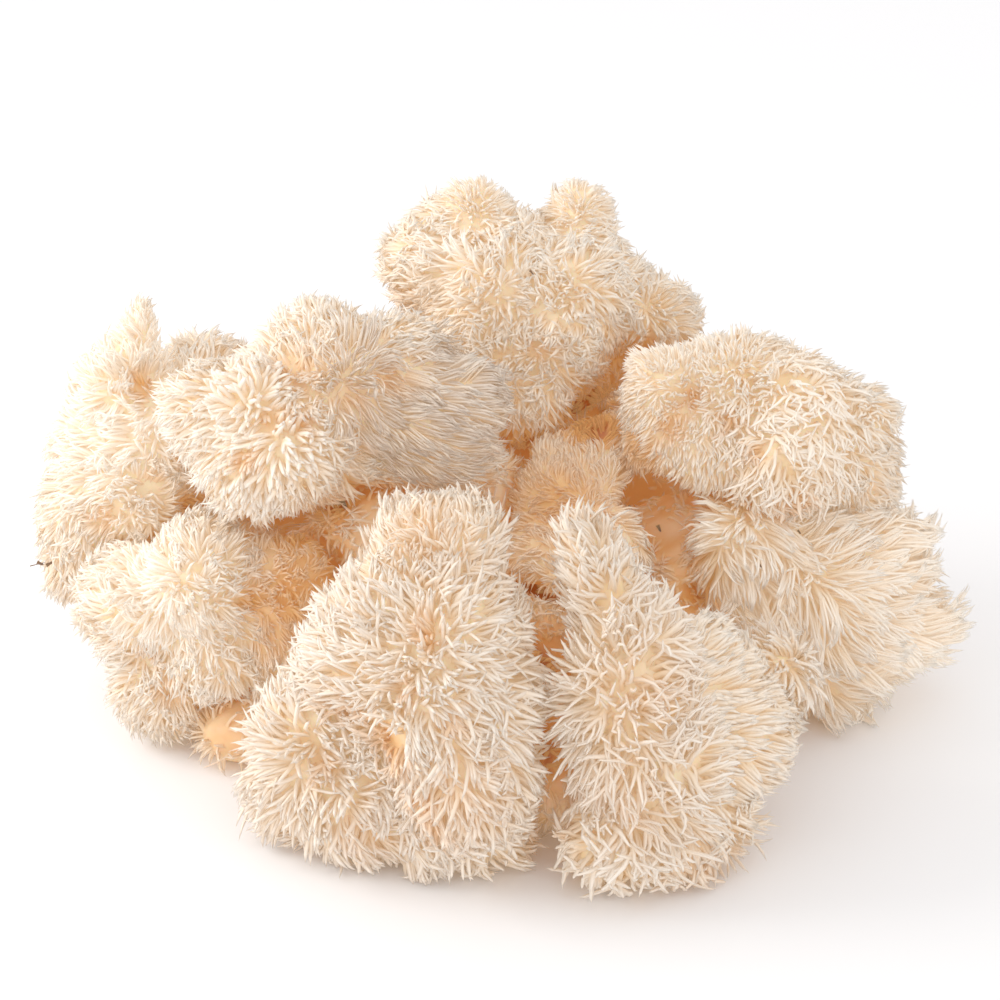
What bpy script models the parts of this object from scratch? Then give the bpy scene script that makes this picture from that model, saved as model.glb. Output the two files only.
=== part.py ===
"""Bear's head tooth fungus, about 200 mm wide, as cut from its log.

One fleshy trunk, cut off flat underneath, forks into rounded branches. Each branch is a cluster of
clumps, and its outside is clothed in hanging teeth. A tuft here is a lock of many real teeth: it
reaches as far as their tips and leans the way that they lean.

Frame: +X to the viewer's right, +Y away from the viewer, +Z up. The origin is on the surface that
the fungus rests on, under the middle of its outline.
"""

import itertools
import math

import bmesh
import bpy
import numpy as np
from mathutils import Vector
from mathutils.bvhtree import BVHTree

# Every size below is in millimetres until a mesh is written, which is in metres.
METRES = 0.001

# Cream teeth, deeper where they are crowded or shaded, over salmon flesh (linear red, green and blue).
FLESH = (0.66, 0.40, 0.23)
CREAM = (0.86, 0.71, 0.53)
DEEP_CREAM = (0.76, 0.54, 0.36)
ROUGHNESS = 0.6

# A clump is a ball: where its middle is, and its radius, each (x, y, z, radius).
# A heart is the point that a branch's teeth flow out from, and each part of its skin is seen from it.
# A tuft is how long a branch's locks of teeth are, and droop is how far they hang.
BRANCHES = {
    "trunk": {
        "colour": FLESH,
        "heart": (0, 6, 26),
        "tuft": 0.0,
        "droop": 0.0,
        "clumps": [
            (0, 8, 14, 34), (-2, 16, 36, 25), (-30, 3, 26, 22), (32, 8, 22, 24), (11, -27, 26, 19),
            (12, -40, 13, 13), (8, 32, 54, 13), (-25, -1, 50, 15), (37, 1, 49, 14), (-44, -12, 9, 13),
            (-56, -15, 7, 9),
        ],
    },
    "front_left_branch": {
        "colour": CREAM,
        "heart": (-12, -44, 32),
        "tuft": 5.5,
        "droop": 0.1,
        "clumps": [
            (-16, -43, 68, 8), (-6, -44, 68, 8), (-22, -47, 53, 10), (-7, -52, 52, 11), (-8, -54, 44, 12),
            (-10, -57, 36, 13), (-1, -56, 38, 9), (-24, -47, 43, 12), (-30, -43, 37, 9), (-37, -44, 24, 11),
            (-40, -47, 13, 10), (-28, -54, 12, 10), (-5, -61, 23, 12), (-14, -56, 8, 8), (-1, -56, 8, 8),
            (-13, -40, 30, 20), (-14, -36, 50, 12), (-26, -37, 20, 13),
        ],
    },
    "front_right_branch": {
        "colour": CREAM,
        "heart": (32, -45, 32),
        "tuft": 5.5,
        "droop": 0.1,
        "clumps": [
            (17, -46, 68, 6), (23, -47, 60, 7), (28, -54, 44, 11), (42, -45, 37, 11), (30, -57, 35, 12),
            (33, -60, 27, 12), (49, -50, 26, 11), (58, -34, 32, 8), (25, -62, 11, 10), (35, -60, 9, 9),
            (44, -56, 12, 9), (36, -41, 27, 17), (27, -40, 45, 9), (20, -60, 9, 8),
        ],
    },
    "middle_branch": {
        "colour": DEEP_CREAM,
        "heart": (18, 0, 48),
        "tuft": 3.5,
        "droop": 0.3,
        "clumps": [
            (14, 13, 57, 9), (12, 1, 54, 9), (24, 5, 56, 8), (8, -13, 49, 8), (28, -8, 49, 8),
            (26, 16, 62, 7), (17, -21, 45, 7), (18, -7, 53, 8), (18, -2, 44, 13),
        ],
    },
    "upper_left_branch": {
        "colour": CREAM,
        "heart": (-36, -2, 74),
        "tuft": 4.5,
        "droop": 0.2,
        "clumps": [
            (-60, -4, 79, 9), (-49, -8, 82, 9), (-41, -15, 74, 9), (-38, 6, 90, 8), (-30, -4, 83, 11),
            (-20, 4, 84, 11), (-13, -4, 74, 11), (-5, 2, 79, 7), (-51, -12, 68, 9), (-7, 0, 64, 8),
            (-38, 2, 74, 18), (-22, 4, 72, 16), (-52, 4, 70, 14),
        ],
    },
    "lower_left_branch": {
        "colour": CREAM,
        "heart": (-62, 0, 30),
        "tuft": 5.0,
        "droop": 0.2,
        "clumps": [
            (-61, -12, 45, 12), (-78, -4, 34, 12), (-72, -6, 14, 11), (-60, -11, 24, 10), (-71, -5, 7, 7),
            (-42, -12, 42, 11), (-45, -11, 27, 11), (-62, 8, 28, 18),
        ],
    },
    "left_rear_branch": {
        "colour": CREAM,
        "heart": (-76, 20, 52),
        "tuft": 5.0,
        "droop": 0.2,
        "clumps": [
            (-75, 28, 85, 6), (-82, 22, 71, 10), (-87, 18, 58, 10), (-89, 12, 45, 11), (-90, 8, 35, 8),
            (-75, 20, 62, 12), (-78, 12, 48, 12), (-64, 32, 70, 9), (-74, 22, 52, 18), (-70, 28, 36, 17),
        ],
    },
    "rear_top_branch": {
        "colour": CREAM,
        "heart": (10, 36, 82),
        "tuft": 4.5,
        "droop": 0.15,
        "clumps": [
            (-3, 44, 106, 6), (19, 46, 104, 7), (-14, 40, 93, 10), (1, 36, 91, 13), (19, 36, 90, 12),
            (32, 39, 82, 9), (40, 42, 79, 6), (-3, 30, 78, 11), (15, 29, 82, 11), (8, 24, 67, 9),
            (8, 44, 80, 20), (10, 48, 68, 18), (26, 48, 75, 13), (-8, 50, 84, 12), (-10, 44, 102, 6),
            (7, 21, 60, 7), (8, 20, 55, 5),
        ],
    },
    "right_top_branch": {
        "colour": CREAM,
        "heart": (58, 12, 70),
        "tuft": 5.0,
        "droop": 0.45,
        "clumps": [
            (35, 8, 80, 7), (46, 10, 77, 9), (54, 16, 78, 8), (64, 12, 72, 11), (78, 14, 66, 9),
            (42, 3, 63, 9), (62, 2, 64, 11), (36, 6, 71, 8), (32, 8, 60, 6), (80, 12, 54, 8),
            (56, 16, 64, 16), (70, 20, 60, 14),
        ],
    },
    "right_lower_branch": {
        "colour": CREAM,
        "heart": (70, 6, 34),
        "tuft": 6.5,
        "droop": 0.6,
        "clumps": [
            (54, 2, 46, 10), (67, 0, 35, 10), (83, 10, 36, 10), (80, 6, 18, 10), (89, 10, 21, 7),
            (60, -4, 24, 9), (75, 4, 9, 8), (72, 10, 30, 17), (68, 16, 44, 12), (48, -2, 48, 9),
            (95, 11, 17, 5), (51, 0, 35, 9),
        ],
    },
    "rear_left_branch": {
        "colour": DEEP_CREAM,
        "heart": (-44, 48, 36),
        "tuft": 5.5,
        "droop": 0.3,
        "clumps": [
            (-60, 46, 32, 13), (-41, 58, 28, 14), (-50, 50, 52, 12), (-27, 58, 45, 12), (-28, 61, 18, 11),
            (-58, 50, 13, 11), (-34, 46, 66, 11), (-44, 44, 34, 20), (-14, 60, 32, 9),
        ],
    },
    "rear_right_branch": {
        "colour": DEEP_CREAM,
        "heart": (42, 46, 36),
        "tuft": 5.5,
        "droop": 0.3,
        "clumps": [
            (61, 46, 30, 13), (42, 58, 29, 14), (51, 47, 51, 12), (22, 57, 43, 12), (29, 61, 17, 11),
            (57, 50, 13, 11), (74, 34, 42, 10), (6, 61, 26, 11), (44, 44, 34, 20), (12, 54, 34, 13),
        ],
    },
}

BLEND = 1.6  # how softly one clump runs into the next
CREVICE = 1.0  # the gap kept between two branches pressed together
FOOT = 1.5  # how far the branches' skin stays above the surface
TIP_FOOT = 0.4  # and their lowest tips
FACE_AREA = 28.5  # of one facet of skin, in square millimetres, which carries one tuft
SHORTEST_TUFT = 1.5
UNEVEN = 0.2  # the share by which one tuft is longer or shorter than the next
TRIM = 0.85  # how much is left of a tuft that reaches into a crevice, each time it is shortened
TRIMS = 12  # how often it may be
OUTWARD = 0.8  # how much a tuft leans away from its branch's heart
FREE_SKIN = 1.0  # skin nearer than this to the middle of a crevice carries no tuft
SKIN_LEVEL = 5  # subdivision of the ball that each skin starts as
STEPS = 60  # of each walk out from a heart
EASING = 0.2  # how far a crossing point is drawn back each time
LOWEST_EASED = 0.2  # points lower than this are the knife's cut, and stay in its plane
EASING_ROUNDS = 20
SHARP = math.radians(30)  # a fold between facets sharper than this stays a crisp edge
SEED = 7


def reach(points, clumps):
    """How far each point is outside the clumps, blended; negative inside."""
    balls = np.array(clumps, float)
    far = np.linalg.norm(points[:, None, :] - balls[None, :, :3], axis=2) - balls[:, 3]
    near = far.min(axis=1)
    return near - BLEND * np.log(np.exp(-(far - near[:, None]) / BLEND).sum(axis=1))


def room(points, name):
    """How far each point is from leaving its own branch's half of the crevices round it."""
    own = reach(points, BRANCHES[name]["clumps"])
    others = np.min([reach(points, b["clumps"]) for n, b in BRANCHES.items() if n != name], axis=0)
    return (others - own - CREVICE) / 2


def grow_skin(name):
    """The skin: a fine ball whose points walk out from the heart until they leave the branch."""
    heart = np.array(BRANCHES[name]["heart"], float)
    bm = bmesh.new()
    bmesh.ops.create_icosphere(bm, subdivisions=SKIN_LEVEL, radius=1.0)
    ways = np.array([v.co for v in bm.verts])
    gone = np.zeros(len(ways))
    for _ in range(STEPS):
        points = heart + ways * gone[:, None]
        step = np.minimum(-reach(points, BRANCHES[name]["clumps"]), room(points, name))
        if name != "trunk":
            step = np.minimum(step, points[:, 2] - FOOT)
        gone += np.clip(step, 0.0, None)
    for vert, point in zip(bm.verts, heart + ways * gone[:, None]):
        vert.co = point
    mesh = bpy.data.meshes.new(name)
    bm.to_mesh(mesh)
    bm.free()
    return mesh


def with_fewer_faces(mesh):
    """The skin with facets of about FACE_AREA each."""
    area = sum(p.area for p in mesh.polygons)
    obj = bpy.data.objects.new("coarse_skin", mesh)
    bpy.context.scene.collection.objects.link(obj)
    fewer = obj.modifiers.new("fewer faces", "DECIMATE")
    fewer.ratio = area / FACE_AREA / len(mesh.polygons)
    graph = bpy.context.evaluated_depsgraph_get()
    coarse = bpy.data.meshes.new_from_object(obj.evaluated_get(graph))
    bpy.data.objects.remove(obj)
    return coarse


def cut_flat(bm):
    """The knife's cut under the trunk, at the height of the surface it rests on."""
    everything = [*bm.verts, *bm.edges, *bm.faces]
    below = {"plane_co": (0, 0, 0), "plane_no": (0, 0, -1), "clear_outer": True}
    cut = bmesh.ops.bisect_plane(bm, geom=everything, **below)
    rim = [g for g in cut["geom_cut"] if isinstance(g, bmesh.types.BMEdge)]
    bmesh.ops.contextual_create(bm, geom=rim)


def add_tufts(bm, name, chance):
    """Draws each free facet of skin out into a leaning tuft, as long as the room in front of it allows."""
    branch = BRANCHES[name]
    skin = list(bm.faces)
    bases = np.array([f.calc_center_median() for f in skin])
    outward = bases - np.array(branch["heart"], float)
    outward /= np.linalg.norm(outward, axis=1)[:, None]
    ways = np.array([f.normal for f in skin]) + OUTWARD * outward + np.array([0, 0, -branch["droop"]])
    ways /= np.linalg.norm(ways, axis=1)[:, None]
    lengths = branch["tuft"] * chance.uniform(1 - UNEVEN, 1 + UNEVEN, len(skin))
    for _ in range(TRIMS):
        tips = bases + ways * lengths[:, None]
        tight = (room(tips, name) < CREVICE / 2) | (tips[:, 2] < TIP_FOOT)
        lengths[tight] *= TRIM
    free = (room(bases, name) > FREE_SKIN) & (lengths > SHORTEST_TUFT)
    for i in np.flatnonzero(free):
        poked = bmesh.ops.poke(bm, faces=[skin[i]])
        poked["verts"][0].co = tips[i]


def build_branch(name, chance):
    """One branch as a mesh in millimetres."""
    mesh = with_fewer_faces(grow_skin(name))
    bm = bmesh.new()
    bm.from_mesh(mesh)
    bm.normal_update()
    if name == "trunk":
        cut_flat(bm)
    else:
        add_tufts(bm, name, chance)
    bmesh.ops.triangulate(bm, faces=bm.faces)
    return bm


def draw_back(branches):
    """Draws facets that cross another branch's back towards their own heart, until none cross."""
    for _ in range(EASING_ROUNDS):
        trees = {name: BVHTree.FromBMesh(bm) for name, bm in branches.items()}
        crossing = {name: set() for name in branches}
        for a, b in itertools.combinations(branches, 2):
            for i, j in trees[a].overlap(trees[b]):
                crossing[a].update(branches[a].faces[i].verts)
                crossing[b].update(branches[b].faces[j].verts)
        if not any(crossing.values()):
            return
        for name, verts in crossing.items():
            heart = Vector(BRANCHES[name]["heart"])
            for vert in verts:
                if vert.co.z > LOWEST_EASED:
                    vert.co -= EASING * (vert.co - heart).normalized()
        for bm in branches.values():
            bm.faces.ensure_lookup_table()


def finish(name):
    """A branch's own matt, waxy material."""
    material = bpy.data.materials.new(f"{name}_skin")
    material.use_nodes = True
    shader = material.node_tree.nodes["Principled BSDF"]
    shader.inputs["Base Color"].default_value = (*BRANCHES[name]["colour"], 1.0)
    shader.inputs["Roughness"].default_value = ROUGHNESS
    shader.inputs["Metallic"].default_value = 0.0
    return material


def place(branches):
    """Makes the objects, in metres, with the origin under the middle of the whole outline."""
    corners = np.array([v.co for bm in branches.values() for v in bm.verts])
    middle = (corners.min(axis=0) + corners.max(axis=0)) / 2
    for name, bm in branches.items():
        bmesh.ops.translate(bm, vec=(-middle[0], -middle[1], 0), verts=bm.verts)
        bmesh.ops.scale(bm, vec=(METRES,) * 3, verts=bm.verts)
        mesh = bpy.data.meshes.new(name)
        bm.to_mesh(mesh)
        bm.free()
        mesh.shade_smooth()
        mesh.set_sharp_from_angle(angle=SHARP)
        mesh.materials.append(finish(name))
        bpy.context.scene.collection.objects.link(bpy.data.objects.new(name, mesh))


def main():
    for obj in list(bpy.data.objects):
        bpy.data.objects.remove(obj)
    chance = np.random.default_rng(SEED)
    branches = {name: build_branch(name, chance) for name in BRANCHES}
    for bm in branches.values():
        bm.faces.ensure_lookup_table()
    draw_back(branches)
    place(branches)


main()
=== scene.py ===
# %% [markdown]
# # Bear's head tooth fungus
#
# This fungus grows on dead wood as one fleshy body that forks and forks again. Every surface that
# can is clothed in soft teeth, about a millimetre thick, and the whole looks like shaggy fur.
#
# The solids already give each branch its place and its outline. Here every branch gets two new
# pieces: a smooth, moist body of flesh, and the thousands of teeth that grow out of it.

# %% Load the solids, which are the fixed frame for everything below
import math

import bmesh
import bpy
import numpy as np
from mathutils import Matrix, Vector
from mathutils.bvhtree import BVHTree
from mathutils.kdtree import KDTree


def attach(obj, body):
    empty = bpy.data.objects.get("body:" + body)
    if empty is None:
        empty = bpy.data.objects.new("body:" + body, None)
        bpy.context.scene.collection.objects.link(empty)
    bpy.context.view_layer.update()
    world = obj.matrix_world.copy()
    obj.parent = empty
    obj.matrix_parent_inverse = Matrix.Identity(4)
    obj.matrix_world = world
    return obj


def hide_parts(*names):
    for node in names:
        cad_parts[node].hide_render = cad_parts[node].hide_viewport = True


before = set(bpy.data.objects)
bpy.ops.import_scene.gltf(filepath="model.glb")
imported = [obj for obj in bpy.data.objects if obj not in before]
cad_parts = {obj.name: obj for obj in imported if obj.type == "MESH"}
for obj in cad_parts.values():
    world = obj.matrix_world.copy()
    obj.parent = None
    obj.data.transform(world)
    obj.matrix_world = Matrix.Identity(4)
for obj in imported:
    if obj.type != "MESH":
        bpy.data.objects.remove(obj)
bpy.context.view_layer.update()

MM = 0.001
scene = bpy.context.scene
print("nodes:", ", ".join(sorted(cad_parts)))

# %% [markdown]
# ## The camera
#
# The photo looks down at the fungus from about 27 degrees with a long lens, so near and far
# branches have almost the same scale. The camera comes first, because the places where the photo
# shows the teeth parting are found by looking through it.

# %% Camera
PHOTO_SIDE = 1000  # pixels
LENS, SENSOR = 110.0, 36.0
ELEVATION = math.radians(27)
DISTANCE = 657 * MM
LOOK_AT = Vector((1.3, 1.1, 55)) * MM

camera = bpy.data.objects.new("camera", bpy.data.cameras.new("camera"))
scene.collection.objects.link(camera)
camera.data.lens = LENS
camera.data.sensor_width = SENSOR
camera.data.clip_start = 0.01
backwards = Vector((0, -math.cos(ELEVATION), math.sin(ELEVATION)))
camera.location = LOOK_AT + DISTANCE * backwards
camera.rotation_euler = (math.radians(90) - ELEVATION, 0, 0)
scene.camera = camera
EYE = camera.location.copy()
CAMERA_UP = Vector((0, math.sin(ELEVATION), math.cos(ELEVATION)))


def sight(px, py):
    """The direction in which the camera sees a pixel of the photo."""
    across = (px / PHOTO_SIDE - 0.5) * SENSOR / LENS
    up = (0.5 - py / PHOTO_SIDE) * SENSOR / LENS
    return (-backwards + across * Vector((1, 0, 0)) + up * CAMERA_UP).normalized()


print("camera at", [round(c, 3) for c in EYE])

# %% [markdown]
# ## Reading a branch's solid
#
# A branch's solid is a skin of facets, each drawn out into one pointed tuft. A tuft's tip is a
# corner where just three faces meet, so it is easy to find. With the tips taken off, the skin is
# left, and a Subdivision Surface turns its facets into the soft, rounded flesh that teeth grow on.
# Remeshing would do this too, but it would lose the thin creases between neighbouring clumps.

# %% From solid to smooth flesh
FLESH_LEVELS = {"trunk": 2, "middle_branch": 2}  # on all others, one level
FLESH_DEPTH = 0.8 * MM  # how far the flesh lies under the skin of the solid
CUT_HEIGHT = 0.05 * MM  # what lies lower belongs to the cut that the trunk rests on
CUT_ANGLE = math.radians(40)  # an edge of the cut is at least as sharp as this


def skin_of(node):
    """A branch's solid without its tufts, as a bmesh."""
    bm = bmesh.new()
    bm.from_mesh(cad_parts[node].data)
    bmesh.ops.remove_doubles(bm, verts=bm.verts, dist=0.001 * MM)
    tips = [v for v in bm.verts if len(v.link_faces) == 3]
    if node != "trunk":
        bmesh.ops.dissolve_verts(bm, verts=tips)
    bmesh.ops.triangulate(bm, faces=[f for f in bm.faces if len(f.verts) > 4])
    bm.normal_update()
    return bm


def smoothed(bm, name, levels):
    """The bmesh with a Subdivision Surface on it, its sharp cut kept sharp, as a new mesh."""
    crease = bm.edges.layers.float.new("crease_edge")
    for edge in bm.edges:
        at_cut = max(v.co.z for v in edge.verts) < CUT_HEIGHT
        if at_cut and edge.calc_face_angle(0) > CUT_ANGLE:
            edge[crease] = 1.0
    rough = bpy.data.meshes.new(name)
    bm.to_mesh(rough)
    bm.free()
    obj = bpy.data.objects.new(name, rough)
    scene.collection.objects.link(obj)
    smoother = obj.modifiers.new("smooth flesh", "SUBSURF")
    smoother.levels = smoother.render_levels = levels
    fine = bpy.data.meshes.new_from_object(obj.evaluated_get(bpy.context.evaluated_depsgraph_get()))
    bpy.data.objects.remove(obj)
    return fine


def points_of(mesh, what="vertices", field="co"):
    """One vector per vertex or face of a mesh, as a numpy array."""
    items = getattr(mesh, what)
    values = np.empty(len(items) * 3, np.float32)
    items.foreach_get(field, values)
    return values.reshape(-1, 3).astype(float)


skins = {}
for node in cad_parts:
    skins[node] = smoothed(skin_of(node), f"{node}_flesh", FLESH_LEVELS.get(node, 1))
print("flesh quads:", sum(len(m.polygons) for m in skins.values()))

# %% [markdown]
# ## Where the light reaches
#
# Deep between the branches the teeth are short, and their colour is painted amber shade, because
# light only gets there through flesh, and where it is quite dark nothing grows. So each point of the
# skins is asked how much of the sky it sees: rays go out from it in many directions, and the share that
# meets no branch is its openness. A pointiness or ambient occlusion node could only tint this. Here it
# also steers growth, and it sets how much painted amber shade there is.

# %% Openness
DIRECTIONS = 36
CLEAR = 0.4 * MM  # how far above the skin the rays start
LOW = 15 * MM  # below this height, a ray that goes down soon meets the table
TABLE = 0.4  # how bright the table under the fungus is, beside the sky
GRAZING = 0.08  # a ray flatter to the skin than this says little, and is left out


def even_directions(count):
    """Directions spread evenly over a sphere, along a spiral that turns by the golden angle."""
    steps = np.arange(count) + 0.5
    height = 1 - 2 * steps / count
    turn = steps * math.pi * (3 - math.sqrt(5))
    radius = np.sqrt(1 - height**2)
    return np.stack([radius * np.cos(turn), radius * np.sin(turn), height], axis=1)


def openness_of(mesh, tree):
    """For each point of a skin, the share of what it faces that no branch hides."""
    rays = even_directions(DIRECTIONS)
    places, normals = points_of(mesh), points_of(mesh, "vertices", "normal")
    facing = np.clip(normals @ rays.T, 0, 1)
    share = np.zeros(len(places))
    for i, (place, normal) in enumerate(zip(places, normals)):
        start = Vector(place + normal * CLEAR)
        for j in np.nonzero(facing[i] > GRAZING)[0]:
            if tree.ray_cast(start, Vector(rays[j]))[0] is None:
                onto_table = rays[j, 2] < 0 and place[2] < LOW
                share[i] += facing[i, j] * (TABLE if onto_table else 1)
    return share / facing.sum(axis=1)


def tree_of(meshes):
    """All the meshes' faces in one search tree."""
    corners, faces = [], []
    for mesh in meshes:
        faces += [[len(corners) + v for v in p.vertices] for p in mesh.polygons]
        corners += [v.co.copy() for v in mesh.vertices]
    return BVHTree.FromPolygons(corners, faces)


everything = tree_of(skins.values())
openness = {node: openness_of(mesh, everything) for node, mesh in skins.items()}
for node, shares in openness.items():
    print(f"{node}: open {shares.mean():.2f} on average, {np.mean(shares < 0.1):.0%} of it dark")


def smoothstep(low, high, x):
    """0 below low, 1 above high, and a soft step between."""
    t = np.clip((x - low) / (high - low), 0, 1)
    return t * t * (3 - 2 * t)


# %% [markdown]
# ## Kinds of coat
#
# The teeth are not the same all over. Most of the fungus is shaggy, but the ridge in front has long
# wavy teeth that cross each other, the round heads on the right have short fur that lies flat, and
# the lobe below them is wet, so its teeth cling together in long locks. Each kind of coat is a few
# numbers. Where a kind grows is given by a pixel of the photo, found on the branch by looking
# through the camera, and a radius. Between two kinds the numbers blend, as they do on a real one.

# %% What each kind of coat is like
# Length and width are in millimetres, and density is in teeth per square millimetre. Flat goes from
# 0, upright, to 1, lying down. Tangle is how far locks and teeth stray from the flow, curl is how far
# a tooth bends aside, and wave is how far it winds. Droop is how far it hangs, cling how far a lock
# gathers, and rings how many rings of corners a tooth's tube has. Grey and soft are how it looks:
# grey draws a coat's colour towards a darker grey, which on the plump, noodles and matted coats is
# painted shade.
COATS = {
    "shaggy": {"length": 5.6, "width": 0.82, "density": 1.15, "flat": 0.72, "tangle": 0.75, "curl": 0.6},
    "plump": {"length": 7.2, "width": 1.0, "density": 0.85, "flat": 0.78, "tangle": 0.4, "curl": 0.65,
              "rings": 3, "grey": 0.35},
    "worms": {"length": 4.8, "width": 1.2, "density": 0.8, "flat": 0.55, "tangle": 0.35, "curl": 0.5,
              "cling": 0.3, "rings": 3},
    "noodles": {"length": 9.5, "width": 1.0, "density": 0.6, "flat": 0.76, "tangle": 0.7, "curl": 0.5,
                "wave": 0.9, "rings": 5, "grey": 0.35},
    "hanging": {"length": 7.0, "width": 0.9, "density": 0.65, "flat": 0.72, "tangle": 0.8, "curl": 0.8,
                "wave": 0.8, "rings": 5, "droop": 0.9},
    "feathery": {"length": 5.2, "width": 0.75, "density": 1.25, "flat": 0.76, "tangle": 0.5, "curl": 0.5,
                 "cling": 0.5, "soft": 0.55},
    "combed": {"length": 4.0, "width": 0.6, "density": 1.5, "flat": 0.82, "tangle": 0.25, "curl": 0.25,
               "soft": 0.5},
    "smooth": {"length": 7.5, "width": 0.9, "density": 1.0, "flat": 0.95, "tangle": 0.15, "cling": 0.6},
    "silky": {"length": 7.5, "width": 0.55, "density": 1.3, "flat": 0.93, "tangle": 0.2, "cling": 0.7,
              "grey": 1.0, "soft": 0.2},
    "wet": {"length": 11.5, "width": 0.75, "density": 0.95, "flat": 0.94, "tangle": 0.3, "cling": 1.0,
            "wave": 0.3, "rings": 3, "soft": 0.5},
    "matted": {"length": 5.0, "width": 0.6, "density": 1.2, "flat": 0.7, "tangle": 0.9, "curl": 0.6,
               "grey": 0.8},
    "curly": {"length": 6.5, "width": 1.4, "density": 0.45, "flat": 0.5, "tangle": 1.2, "curl": 1.3,
              "wave": 0.8, "rings": 5},
    "downy": {"length": 4.5, "width": 0.55, "density": 1.5, "flat": 0.88, "tangle": 0.35, "curl": 0.4,
              "cling": 0.6},
    "coarse": {"length": 6.4, "width": 1.0, "density": 0.75, "flat": 0.76, "tangle": 0.7, "curl": 0.5},
    "crinkled": {"length": 4.2, "width": 0.85, "density": 0.55, "flat": 0.6, "tangle": 1.3, "curl": 1.4},
    "bare": {"length": 4.0, "width": 0.9, "density": 0.08, "flat": 0.9, "tangle": 1.2, "curl": 1.2,
             "rings": 5},
}
USUAL = {  # what a kind has that does not say otherwise
    "length": 5.0, "width": 0.8, "density": 0.3, "flat": 0.8, "tangle": 0.3, "curl": 0.1, "wave": 0.0,
    "rings": 2, "droop": 0.08, "cling": 0.4, "grey": 0.0, "soft": 0.45,
}
KINDS = list(COATS)
GROUND_COAT = {"trunk": "crinkled", "middle_branch": "downy", "front_left_branch": "plump",
                "front_right_branch": "plump", "rear_left_branch": "coarse", "rear_right_branch": "coarse"}


def trait(name):
    """One trait of every kind of coat, in the order of KINDS."""
    return np.array([COATS[kind].get(name, USUAL[name]) for kind in KINDS], float)


print(len(KINDS), "kinds of coat, with teeth of", min(trait("length")), "to", max(trait("length")), "mm")

# %% Which branch the camera sees at a pixel, and where
OUTERMOST = "left_rear_branch"  # a pixel just off the fungus, at its left edge, belongs to this lobe
NEAR_MISS = 2 * MM  # how much farther off a sight line than the nearest place still counts as near
surfaces = {node: tree_of([mesh]) for node, mesh in skins.items()}


def landing(pixel):
    """The branch seen at a pixel of the photo, and the place on it."""
    hits = []
    for node, tree in surfaces.items():
        place, _, _, distance = tree.ray_cast(EYE, sight(*pixel))
        if place is not None:
            hits.append((distance, node, np.array(place)))
    if hits:
        return min(hits, key=lambda hit: hit[0])[1:]
    return OUTERMOST, landing_on(OUTERMOST, pixel)


def landing_on(node, pixel):
    """The place on one branch that is seen at a pixel, or that comes nearest to being seen there."""
    place = surfaces[node].ray_cast(EYE, sight(*pixel))[0]
    if place is not None:
        return np.array(place)
    places = points_of(skins[node])
    way = np.array(sight(*pixel))
    aside = np.linalg.norm(np.cross(places - np.array(EYE), way), axis=1)
    near = places[aside < aside.min() + NEAR_MISS]
    return near[((near - np.array(EYE)) @ way).argmin()]


print("in the middle of the photo:", landing((500, 500))[0])

# %% Where they grow: the kind, the pixel, and the radius in millimetres
COATS_SEEN = [
    ("noodles", (600, 680), 19), ("noodles", (620, 780), 19),
    ("smooth", (740, 690), 20), ("smooth", (730, 800), 13),
    ("curly", (590, 865), 14), ("curly", (660, 870), 10), ("curly", (480, 846), 8),
    ("bare", (392, 735), 4), ("bare", (225, 730), 7), ("bare", (660, 530), 7), ("bare", (640, 500), 5),
    ("worms", (242, 403), 10), ("worms", (280, 445), 9), ("worms", (251, 474), 9),
    ("combed", (470, 190), 9), ("combed", (578, 200), 9), ("combed", (146, 310), 8),
    ("silky", (430, 430), 20), ("silky", (370, 380), 12), ("silky", (460, 370), 14),
    ("feathery", (430, 525), 12), ("feathery", (380, 560), 8),
    ("matted", (290, 570), 14), ("matted", (310, 545), 12), ("downy", (265, 640), 9),
    ("feathery", (90, 430), 30), ("feathery", (160, 580), 24), ("feathery", (120, 345), 16),
    ("combed", (645, 385), 16), ("combed", (690, 455), 14), ("combed", (740, 370), 10),
    ("hanging", (800, 430), 20), ("hanging", (740, 420), 9),
    ("smooth", (715, 525), 9), ("wet", (750, 580), 22), ("wet", (870, 580), 22), ("wet", (880, 660), 26),
]
coat_places = {node: [] for node in skins}
for kind, pixel, radius in COATS_SEEN:
    node, place = landing(pixel)
    coat_places[node].append((kind, place, radius * MM))
for node in skins:
    print(f"{node}:", ", ".join(kind for kind, *_ in coat_places[node]) or "no special coat")
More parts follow.
